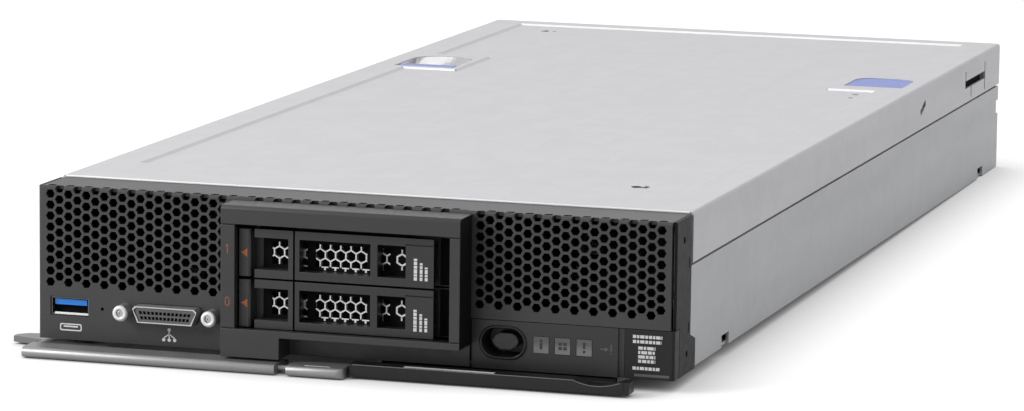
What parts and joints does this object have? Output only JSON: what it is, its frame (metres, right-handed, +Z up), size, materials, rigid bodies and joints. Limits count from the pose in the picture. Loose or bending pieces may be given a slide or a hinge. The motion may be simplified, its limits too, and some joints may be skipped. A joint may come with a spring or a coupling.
{
  "type": "blade server",
  "caption": "Half-width blade server with perforated front panel, hot-swap drives in a framed bay, lift-off cover, cam handle and pull-out label tray.",
  "frame": {"origin": "on the underside of the chassis floor, at mid-width, in the plane of the front panel's face", "axes": "+X to the right seen from the front, +Y to the rear along the way into the enclosure, +Z up"},
  "size_m": [0.2265, 0.509, 0.0549],
  "materials": {
    "bezel_paint": "fine matt black paint",
    "bezel_plastic": "moulded, fine grain",
    "tray_plastic": "moulded, smooth",
    "zinc_steel": "zinc-plated sheet",
    "cover_steel": "zinc-plated sheet, satin",
    "touch_blue": "moulded, satin",
    "drive_case": "cast case",
    "honeycomb_steel": "bright perforated sheet",
    "handle_metal": "satin extrusion",
    "window_grey": "diffusing",
    "connector_shell": "nickel-plated",
    "usb_blue": "moulded",
    "connector_black": "moulded",
    "board_green": "solder resist",
    "sink_aluminium": "extruded"
  },
  "bodies": {
    "chassis": {"grille_left": "bezel_paint", "grille_right": "bezel_paint", "bezel_top": "bezel_paint", "bezel_side_left": "bezel_paint", "bezel_side_right": "bezel_paint", "drive_bay_frame": "bezel_plastic", "operator_panel": "bezel_plastic", "label_block": "bezel_plastic", "chassis_tray": "zinc_steel", "front_pan": "zinc_steel", "drive_cage": "zinc_steel", "tray_guides": "zinc_steel", "board_standoffs": "zinc_steel", "handle_pivot": "zinc_steel", "status_windows": "window_grey", "usb_shell": "connector_shell", "console_shell": "connector_shell", "console_screwlocks": "connector_shell", "processors": "connector_shell", "coin_cell": "connector_shell", "heat_sink_screws": "connector_shell", "usb_tongue": "usb_blue", "console_insert": "connector_black", "backplane_connectors": "connector_black", "fabric_connectors": "connector_black", "power_connector": "connector_black", "dimm_sockets_left": "connector_black", "dimm_sockets_right": "connector_black", "battery_holder": "connector_black", "cpu_sockets": "connector_black", "system_board": "board_green", "front_io_board": "board_green", "drive_backplane": "board_green", "memory_modules_left": "board_green", "memory_modules_right": "board_green", "io_adapter_left": "board_green", "io_adapter_right": "board_green", "heat_sink_front": "sink_aluminium", "heat_sink_rear": "sink_aluminium", "chipset_heat_sink": "sink_aluminium"},
    "top_cover": {"top_cover": "cover_steel", "latch_dish": "zinc_steel", "push_point": "touch_blue"},
    "cover_latch": {"cover_latch": "touch_blue"},
    "cam_handle": {"handle_lever": "zinc_steel", "handle_grip": "handle_metal"},
    "cam_handle_latch": {"handle_latch": "handle_metal"},
    "label_tray": {"label_tray": "tray_plastic"},
    "power_button": {"power_button": "bezel_plastic"},
    "drive_0": {"drive_sled_0": "bezel_plastic", "disk_drive_0": "drive_case", "drive_honeycomb_0": "honeycomb_steel"},
    "drive_0_handle": {"drive_handle_0": "bezel_plastic"},
    "drive_0_latch": {"drive_latch_0": "bezel_plastic"},
    "drive_1": {"drive_sled_1": "bezel_plastic", "disk_drive_1": "drive_case", "drive_honeycomb_1": "honeycomb_steel"},
    "drive_1_handle": {"drive_handle_1": "bezel_plastic"},
    "drive_1_latch": {"drive_latch_1": "bezel_plastic"}
  },
  "joints": [
    {"name": "cover_lift", "type": "slide", "parent": "chassis", "child": "top_cover", "axis": [0, 0, 1], "range_m": [0, 0.08]},
    {"name": "cover_latch_slide", "type": "slide", "parent": "top_cover", "child": "cover_latch", "axis": [0, 1, 0], "range_m": [0, 0.004], "stiffness_N_per_m": 400},
    {"name": "cam_handle_swing", "type": "hinge", "parent": "chassis", "child": "cam_handle", "pos_m": [-0.096, 0.009, -0.00295], "axis": [0, 0, -1], "range_deg": [0, 70]},
    {"name": "cam_handle_latch_slide", "type": "slide", "parent": "cam_handle", "child": "cam_handle_latch", "axis": [-1, 0, 0], "range_m": [0, 0.003], "stiffness_N_per_m": 400},
    {"name": "label_tray_slide", "type": "slide", "parent": "chassis", "child": "label_tray", "axis": [0, -1, 0], "range_m": [0, 0.036]},
    {"name": "power_button_press", "type": "slide", "parent": "chassis", "child": "power_button", "axis": [0, 1, 0], "range_m": [0, 0.001], "stiffness_N_per_m": 500},
    {"name": "drive_0_slide", "type": "slide", "parent": "chassis", "child": "drive_0", "axis": [0, -1, 0], "range_m": [0, 0.11]},
    {"name": "drive_0_handle_swing", "type": "hinge", "parent": "drive_0", "child": "drive_0_handle", "pos_m": [0.02885, -0.0057, 0.01685], "axis": [0, 0, 1], "range_deg": [0, 70]},
    {"name": "drive_0_latch_slide", "type": "slide", "parent": "drive_0", "child": "drive_0_latch", "axis": [-1, 0, 0], "range_m": [0, 0.0012], "stiffness_N_per_m": 300},
    {"name": "drive_1_slide", "type": "slide", "parent": "chassis", "child": "drive_1", "axis": [0, -1, 0], "range_m": [0, 0.11]},
    {"name": "drive_1_handle_swing", "type": "hinge", "parent": "drive_1", "child": "drive_1_handle", "pos_m": [0.02885, -0.0057, 0.0332], "axis": [0, 0, 1], "range_deg": [0, 70]},
    {"name": "drive_1_latch_slide", "type": "slide", "parent": "drive_1", "child": "drive_1_latch", "axis": [-1, 0, 0], "range_m": [0, 0.0012], "stiffness_N_per_m": 300}
  ]
}
